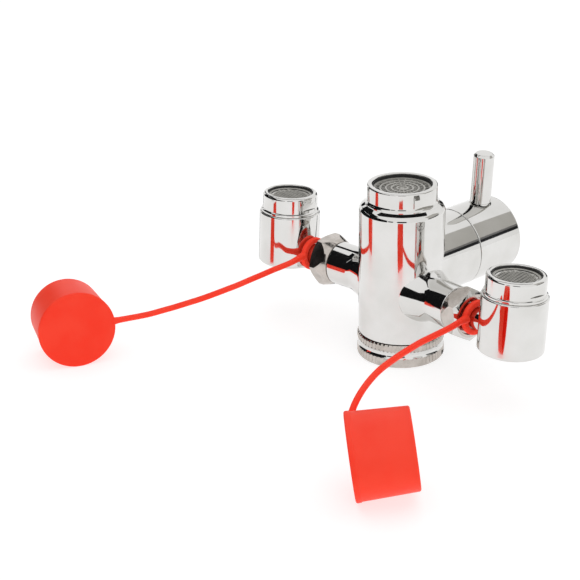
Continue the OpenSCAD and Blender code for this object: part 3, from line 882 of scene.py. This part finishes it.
@dataclass(frozen=True)
class SprayHead:
    """One spray head: a cup, the aerator housing screwed into it, and its mesh."""

    side: Side
    cup_r: float = 11.0
    bottom: float = -5.7
    seam: float = 13.7
    thread_r: float = 8.9
    thread_len: float = 4.5
    flange_r: float = 10.45
    flange_h: float = 0.9
    housing_r: float = 9.9
    top: float = 20.7
    opening_r: float = 8.2
    screen_sink: float = 1.1
    rim_w: float = 0.9
    rim_depth: float = 0.45
    sleeve: float = 0.25
    weave_turn: float = 20.0
    wire_pitch: float = 1.15
    wire: float = 0.42

    def cup(self) -> Piece:
        """Turns the cup, drawn with a rounded foot."""
        cup = turned(f"{self.side.label}_cup", [
            (3, self.bottom), (self.cup_r, self.bottom, 1.3), (self.cup_r, self.seam, 0.5),
            (self.thread_r + 0.05, self.seam),
            (self.thread_r + 0.05, self.seam - self.thread_len - 1.5),
            (8.15, self.seam - self.thread_len - 1.5), (8.15, self.bottom + 2),
        ])
        return place(cup, LAYOUT.on_head(self.side))

    def housing(self) -> Piece:
        """Turns the aerator housing and mills its spanner flats."""
        foot = self.seam - self.thread_len
        step = self.top - self.screen_sink - 0.5
        housing = turned(f"{self.side.label}_aerator_shell", [
            (6.6, foot), (self.thread_r, foot), (self.thread_r, self.seam),
            (self.flange_r, self.seam, 0.2), (self.flange_r, self.seam + self.flange_h, 0.3),
            (self.housing_r, self.seam + self.flange_h + 0.3), (self.housing_r, self.top, 1.0),
            (self.opening_r, self.top, 0.3), (self.opening_r, step), (7.35, step),
            (7.35, foot + 1), (6.6, foot + 1),
        ], ring=True)
        low = self.seam + self.flange_h + 1.2
        high = self.top - 2.2
        for sign in (-1, 1):
            centre = (sign * (self.housing_r - 0.55 + 2), 0, (low + high) / 2)
            combine(housing, block((4, 12, high - low), centre), Cut.REMOVE)
        return place(housing, LAYOUT.on_head(self.side))

    def mesh_screen(self) -> Piece:
        """Weaves the screen: a grid trimmed round, then drawn as wires."""
        radius = self.opening_r - self.rim_w - 0.1
        cells = 2 * round(radius / self.wire_pitch)
        height = self.top - self.screen_sink - self.rim_depth
        deselect_all()
        bpy.ops.mesh.primitive_grid_add(
            x_subdivisions=cells,
            y_subdivisions=cells,
            size=2 * radius * MM,
            location=(0, 0, height * MM),
            rotation=(0, 0, math.radians(self.weave_turn)),
        )
        screen = named(f"{self.side.label}_wire_mesh")
        mesh = bmesh.new()
        mesh.from_mesh(screen.data)
        outside = [v for v in mesh.verts if v.co.xy.length > radius * MM]
        bmesh.ops.delete(mesh, geom=outside, context="VERTS")
        mesh.to_mesh(screen.data)
        mesh.free()
        apply_modifier(screen, "WIREFRAME", thickness=self.wire * MM, use_even_offset=False)
        return place(screen, LAYOUT.on_head(self.side))

    def rim(self) -> Piece:
        """Turns the plastic rim that holds the mesh, with its sleeve and the floor below."""
        top = self.top - self.screen_sink
        outer = self.opening_r - 0.05
        inner = outer - self.sleeve - self.rim_w
        rim = turned(f"{self.side.label}_screen_rim", [
            (1, top - 0.5 - self.rim_depth), (inner, top - 0.5 - self.rim_depth),
            (inner, top, 0.15), (outer - self.sleeve, top), (outer - self.sleeve, self.top - 0.4),
            (outer, self.top - 0.4), (outer, top - 0.45), (7.3, top - 0.45),
            (7.3, top - 1.3 - self.rim_depth), (1, top - 1.3 - self.rim_depth),
        ], steps=96)
        return place(rim, LAYOUT.on_head(self.side))

    def darken(self, rim: Piece) -> None:
        """Paints shade on the sleeve and on the floor under the mesh, with dark finishes."""
        back = LAYOUT.on_head(self.side).inverted()
        top = (self.top - self.screen_sink) * MM
        low = top - self.rim_depth / 2 * MM
        sleeve = (self.opening_r - self.sleeve - 0.1) * MM
        inner = (self.opening_r - self.rim_w) * MM

        def on_sleeve(face: Face) -> bool:
            """Tells whether a face is on the sleeve above the rim."""
            spot = back @ face.center
            return spot.xy.length > sleeve and spot.z > top

        def on_floor(face: Face) -> bool:
            """Tells whether a face is under the mesh."""
            spot = back @ face.center
            return spot.xy.length < inner and spot.z < low

        # Painted shade: black on the sleeve, dark grey on the floor under the mesh.
        paint(rim, RUBBER_AND_PAINTED_SHADE, on_sleeve)
        paint(rim, PLASTIC_IN_PAINTED_SHADE, on_floor)

    def build(self) -> None:
        """Builds and dresses the cup, the housing, the rim and the mesh."""
        label = self.side.label
        body = f"{label}_head"
        dress(self.cup(), "chrome", body, f"{label}_head_cup")
        dress(self.housing(), "chrome", body, f"{label}_head_housing")
        rim = self.rim()
        dress(rim, "grey_plastic", body, f"{label}_head_screen")
        self.darken(rim)
        dress(self.mesh_screen(), "grey_plastic", body, angle=0)


@dataclass(frozen=True)
class Tether:
    """A silicone dust cap, its strap and the ring that hangs on the stem.

    route is the strap's middle line from the ring to the cap, as in the part's own frame, and
    bead is how far from its closed face the cap's thin wall starts.
    """

    side: Side
    route: tuple[tuple[float, float, float], ...]
    face: tuple[float, float]
    heading: float
    tilt: float
    ring_x: float
    ring_r: float = 6.0
    ring_hole: float = 4.0
    ring_t: float = 2.0
    strap_w: float = 2.1
    closed_r: float = 13.55
    mouth_r: float = 12.55
    length: float = 19.3
    wall: float = 1.5
    end: float = 2.1
    bead: float = 1.7

    def cap_frame(self) -> Matrix:
        """Returns the cap's frame: its closed face at the origin, +Z to its mouth."""
        rim = self.closed_r * math.cos(math.radians(self.tilt))
        return (
            Matrix.Translation(Vector((*self.face, rim)) * MM)
            @ spun(self.heading, "Z")
            @ spun(90 - self.tilt, "Y")
        )

    def cap(self) -> Piece:
        """Turns the cap: a thick end with a small bead, a thin wall and a soft lip."""
        cap = turned(f"{self.side.label}_silicone_cap", [
            (5, 0.0), (self.closed_r, 0.0, 0.55), (self.closed_r - 0.09, 1.6, 0.3),
            (self.closed_r - 0.3, 2.0, 0.3), (self.mouth_r, self.length, 0.6),
            (self.mouth_r - self.wall, self.length, 0.5),
            (self.closed_r - self.wall, self.end, 1.0), (5, self.end),
        ])
        return place(cap, self.cap_frame())

    def ring(self) -> Piece:
        """Turns the ring, a flat band with soft edges."""
        ring = turned(f"{self.side.label}_silicone_ring", [
            (self.ring_hole, 0), (self.ring_hole, -self.ring_t / 2, 0.5),
            (self.ring_r, -self.ring_t / 2, 0.6), (self.ring_r, self.ring_t / 2, 0.6),
            (self.ring_hole, self.ring_t / 2, 0.5), (self.ring_hole, 0.01),
        ], ring=True, steps=96)
        return place(ring, LAYOUT.along_arm(self.side, self.ring_x))

    def strap(self) -> Piece:
        """Draws the strap as one smooth curve that thickens a little into ring and cap."""
        curve = bpy.data.curves.new(f"{self.side.label}_silicone_strap", "CURVE")
        curve.dimensions = "3D"
        curve.bevel_depth = self.strap_w / 2 * MM
        curve.bevel_resolution = 6
        curve.resolution_u = 8
        curve.use_fill_caps = True
        spline = curve.splines.new("BEZIER")
        last = len(self.route) - 1
        spline.bezier_points.add(last)
        for i, (point, spot) in enumerate(zip(spline.bezier_points, self.route)):
            point.co = Vector(spot) * MM
            point.handle_left_type = "AUTO"
            point.handle_right_type = "AUTO"
            point.radius = {0: 1.45, 1: 1.06, last - 1: 1.04, last: 1.3}.get(i, 1.0)
        strap = bpy.data.objects.new(curve.name, curve)
        bpy.context.scene.collection.objects.link(strap)
        return strap

    def build(self) -> None:
        label = self.side.label
        body = f"{label}_tether"
        cap = self.cap()
        dress(cap, "red_silicone", body, f"{label}_dust_cap", angle=40)
        back = self.cap_frame().inverted()
        # The thin wall gets the paler silicone: more subsurface, plus painted light in its paler
        # colour and glow.
        paint(cap, SILICONE_WALL, lambda face: (back @ face.center).z > self.bead * MM)
        ring = self.ring()
        dress(ring, "red_silicone", body, f"{label}_tether_ring", angle=40)
        strap = self.strap()
        dress(strap, "red_silicone", body, f"{label}_tether_strap", angle=0)
        bpy.context.view_layer.update()


LEFT_TETHER = Tether(
    Side.LEFT,
    route=(
        (-40.9, -8.4, 26.1), (-40.5, -12, 25.9), (-40.3, -15, 25.6), (-40.6, -19, 25.2),
        (-40.9, -23, 24.9), (-41.3, -27.5, 24.4), (-42.2, -32.6, 23.6), (-43.4, -37.6, 22.6),
        (-45, -41.9, 21.6), (-47, -46, 20.4), (-49.2, -50, 19.2), (-51.6, -53.8, 18.1),
        (-54, -57.5, 17), (-56.3, -61.3, 16.1), (-58.4, -65, 15.3), (-60.2, -68.4, 14.9),
        (-61.8, -71.8, 14.7), (-63.3, -74.9, 14.5), (-64.2, -77.1, 14.4),
    ),
    face=(-68, -89.3),
    heading=158,
    tilt=-2.966,
    ring_x=41.4,
)
RIGHT_TETHER = Tether(
    Side.RIGHT,
    route=(
        (37.1, -7.7, 26.5), (38, -11.5, 26.9), (38.8, -17, 26.9), (39.2, -22.2, 26.9),
        (39.8, -27.5, 27.1), (40.6, -33, 27.4), (41.6, -38.5, 27.5), (42.7, -44, 27.6),
        (43.9, -49.7, 27.5), (45.1, -55.2, 27.2), (46.3, -60.2, 26.3), (47.3, -64.2, 25),
        (48.1, -67.2, 23.6), (48.6, -69.3, 22), (48.9, -70.7, 20.4), (49.3, -72, 18.8),
        (50, -73.2, 17.4), (51.3, -74.1, 16.2),
    ),
    face=(60, -82.6),
    heading=49,
    tilt=7.5,
    ring_x=37.2,
)


# ---------- studio ----------


CARD_BLACK = "#0C0D0F"


@dataclass(frozen=True)
class Flag:
    """A card on edge that only reflections see.

    heading is in degrees from +X, and the other sizes are in metres. A card may be any shade
    and may glow white.
    """

    heading: float
    width: float
    low: float
    high: float
    distance: float = 0.7
    shade: str = CARD_BLACK
    glow: float = 0.0


@dataclass(frozen=True)
class Studio:
    """A white table under soft light, with dark cards round it for the chrome.

    The camera's place and the cylinders of edge_lines are in millimetres, all else in metres.
    edge_lines holds X, Y and radius of each upright cylinder, with the hands on which a strip
    lies. lamps holds each light's name, place, size and power.
    """

    camera_at: tuple[float, float, float] = (348.96, -360.27, 240.07)
    right: tuple[float, float, float] = (0.668, 0.744, -0.017)
    forward: tuple[float, float, float] = (-0.687, 0.608, -0.397)
    lens: float = 97.6
    room_glow: float = 0.42
    table_size: float = 12.0
    table_glow: float = 0.68
    tent_r: float = 1.3
    tent_glow: float = 1.0
    wing_turn: float = 70.0
    wing_out: float = 0.189
    wing_z: float = 0.6
    wing_len: float = 0.42
    wing_w: float = 0.15
    strip_turn: float = 26.0
    strip_gap: float = 0.03
    strip_end: float = 0.3
    strip_w: float = 0.006
    strip_lift: float = 0.0006
    edge_lines: tuple[tuple[float, float, float, tuple[int, ...]], ...] = (
        (0, 0, 14.75, (-1, 1)), (53.5, -4.1, 11, (1,)), (-53.5, -4.1, 11, (-1, 1)),
    )
    flags: tuple[Flag, ...] = (
        Flag(heading=228, width=0.5, low=0.002, high=0.17, distance=0.22),
        Flag(heading=205, width=0.42, low=0.15, high=0.37, distance=0.3),
        Flag(heading=206, width=0.1, low=0.125, high=0.132, distance=0.2, glow=0.9),
        Flag(heading=160, width=0.06, low=0.1, high=0.37, distance=0.3),
        Flag(heading=45, width=0.5, low=0.135, high=0.21, shade="#2A2B2D"),
        Flag(heading=45, width=0.5, low=0.21, high=0.26, shade="#828180"),
        Flag(heading=50, width=0.56, low=0.26, high=0.76, shade="#CBC9C4"),
        Flag(heading=-46, width=0.3, low=0.02, high=0.3, shade="#1A1B1D"),
        Flag(heading=-75, width=0.16, low=0.03, high=0.24, shade="#1A1B1D"),
        Flag(heading=115, width=0.25, low=0.03, high=0.24, shade="#1A1B1D"),
    )
    lamps: tuple[tuple[str, tuple[float, float, float], float, float], ...] = (
        ("top_light", (0.0, 0.1, 1.6), 2.4, 16), ("front_light", (1.0, -0.5, 0.7), 0.5, 1.5),
    )
    lamps_aim: tuple[float, float, float] = (0, 0, 0.03)

    def camera(self) -> None:
        """Sets up the camera."""
        data = bpy.data.cameras.new("camera")
        data.lens = self.lens
        data.sensor_width = 36
        data.clip_start = 0.01
        camera = bpy.data.objects.new("camera", data)
        bpy.context.scene.collection.objects.link(camera)
        back = -Vector(self.forward).normalized()
        right = Vector(self.right)
        right = (right - right.dot(back) * back).normalized()
        up = back.cross(right)
        turn = Matrix((right, up, back)).transposed().to_4x4()
        camera.matrix_world = Matrix.Translation(Vector(self.camera_at) * MM) @ turn
        bpy.context.scene.camera = camera

    def plain(self, name: str, code: str, glow: float = 0.0) -> bpy.types.Material:
        """Returns a matte material for the table or a card, which may glow white."""
        material = bpy.data.materials.new(name)
        material.use_nodes = True
        shader = material.node_tree.nodes["Principled BSDF"]
        shader.inputs["Base Color"].default_value = linear(code)
        shader.inputs["Roughness"].default_value = 0.9
        shader.inputs["Specular IOR Level"].default_value = 0.1
        shader.inputs["Emission Color"].default_value = linear("#FFFFFF")
        shader.inputs["Emission Strength"].default_value = glow
        return material

    def table(self) -> None:
        """Lays the white table."""
        deselect_all()
        bpy.ops.mesh.primitive_plane_add(size=self.table_size, location=(0, 0, 0))
        table = bpy.context.object
        table.name = "table"
        table.data.materials.append(self.plain("table_white", "#B4B4B4", self.table_glow))

    def hide_from_all_but_gloss(self, card: Piece) -> None:
        """Lets only reflections see a card."""
        for ray in ("camera", "diffuse", "shadow", "transmission"):
            setattr(card, f"visible_{ray}", False)

    def around(self, angle: float, distance: float, height: float) -> Matrix:
        """Returns the frame at a distance and height round the column, with +X outwards."""
        return Matrix.Rotation(angle, 4, "Z") @ Matrix.Translation((distance, 0, height))

    def card(
        self, name: str, size: Iterable[float], spot: Matrix, shade: str = CARD_BLACK,
        glow: float = 0.0,
    ) -> None:
        """Sets up a card that only reflections see, of a size in metres along X and Y of spot."""
        deselect_all()
        bpy.ops.mesh.primitive_plane_add(size=1, location=(0, 0, 0))
        card = bpy.context.object
        card.name = name
        card.matrix_world = spot @ Matrix.Diagonal((*size, 1, 1))
        card.data.materials.append(self.plain(name, shade, glow))
        self.hide_from_all_but_gloss(card)

    def standing_cards(self) -> None:
        """Stands the dark cards round the table."""
        upright = spun(90, "Z") @ spun(90, "X")
        for k, flag in enumerate(self.flags):
            middle = (flag.low + flag.high) / 2
            spot = self.around(math.radians(flag.heading), flag.distance, middle) @ upright
            size = (flag.width, flag.high - flag.low)
            self.card(f"card_{k}", size, spot, flag.shade, flag.glow)

    def lying_cards(self) -> None:
        """Lays strips that darken the edges of the upright cylinders, and two wings overhead."""
        heading = math.atan2(self.forward[1], self.forward[0])
        for k, (x, y, radius, hands) in enumerate(self.edge_lines):
            near = radius * MM + self.strip_gap
            size = (self.strip_end - near, self.strip_w)
            axis = Matrix.Translation((x * MM, y * MM, 0))
            for hand in hands:
                angle = heading + hand * math.radians(self.strip_turn)
                spot = self.around(angle, (near + self.strip_end) / 2, self.strip_lift)
                self.card(f"strip_{k}_{hand + 1}", size, axis @ spot)
        for hand in (-1, 1):
            angle = heading + hand * math.radians(self.wing_turn)
            spot = self.around(angle, self.wing_out, self.wing_z)
            self.card(f"card_overhead_{hand + 1}", (self.wing_len, self.wing_w), spot)

    def tent(self) -> None:
        """Hangs a white tent over the table, which lights nothing."""
        deselect_all()
        bpy.ops.mesh.primitive_uv_sphere_add(segments=48, ring_count=24, radius=self.tent_r)
        tent = bpy.context.object
        tent.name = "tent"
        tent.data.materials.append(self.plain("tent_white", "#000000", self.tent_glow))
        self.hide_from_all_but_gloss(tent)
        tent.visible_camera = True

    def light(self, name: str, spot: Iterable[float], size: float, power: float) -> None:
        """Adds a square soft light that looks at the object."""
        data = bpy.data.lights.new(name, "AREA")
        data.shape = "SQUARE"
        data.size = size
        data.energy = power
        lamp = bpy.data.objects.new(name, data)
        bpy.context.scene.collection.objects.link(lamp)
        lamp.location = Vector(spot)
        aim = Vector(self.lamps_aim) - lamp.location
        lamp.rotation_euler = aim.to_track_quat("-Z", "Y").to_euler()

    def world(self) -> None:
        """Fills the room with even white light."""
        world = bpy.data.worlds.new("white_room")
        world.use_nodes = True
        background = world.node_tree.nodes["Background"]
        background.inputs["Color"].default_value = linear("#FFFFFF")
        background.inputs["Strength"].default_value = self.room_glow
        bpy.context.scene.world = world

    def build(self) -> None:
        """Sets up the whole studio."""
        bpy.context.scene.view_settings.view_transform = "Standard"
        self.world()
        self.table()
        self.standing_cards()
        self.lying_cards()
        self.tent()
        for lamp in self.lamps:
            self.light(*lamp)


def main() -> None:
    """Builds the eyewash and its studio."""
    logging.basicConfig(level=logging.INFO, format="%(message)s")
    studio = Studio()
    studio.camera()
    for tether in (LEFT_TETHER, RIGHT_TETHER):
        tether.build()
    dress_frame()
    Casting().build()
    KnurledNut().build()
    OutletAerator().build()
    Lever().build()
    for union in (Union(Side.LEFT, turn=27.5), Union(Side.RIGHT)):
        union.build()
        SprayHead(union.side).build()
    studio.build()


if __name__ == "__main__":
    main()
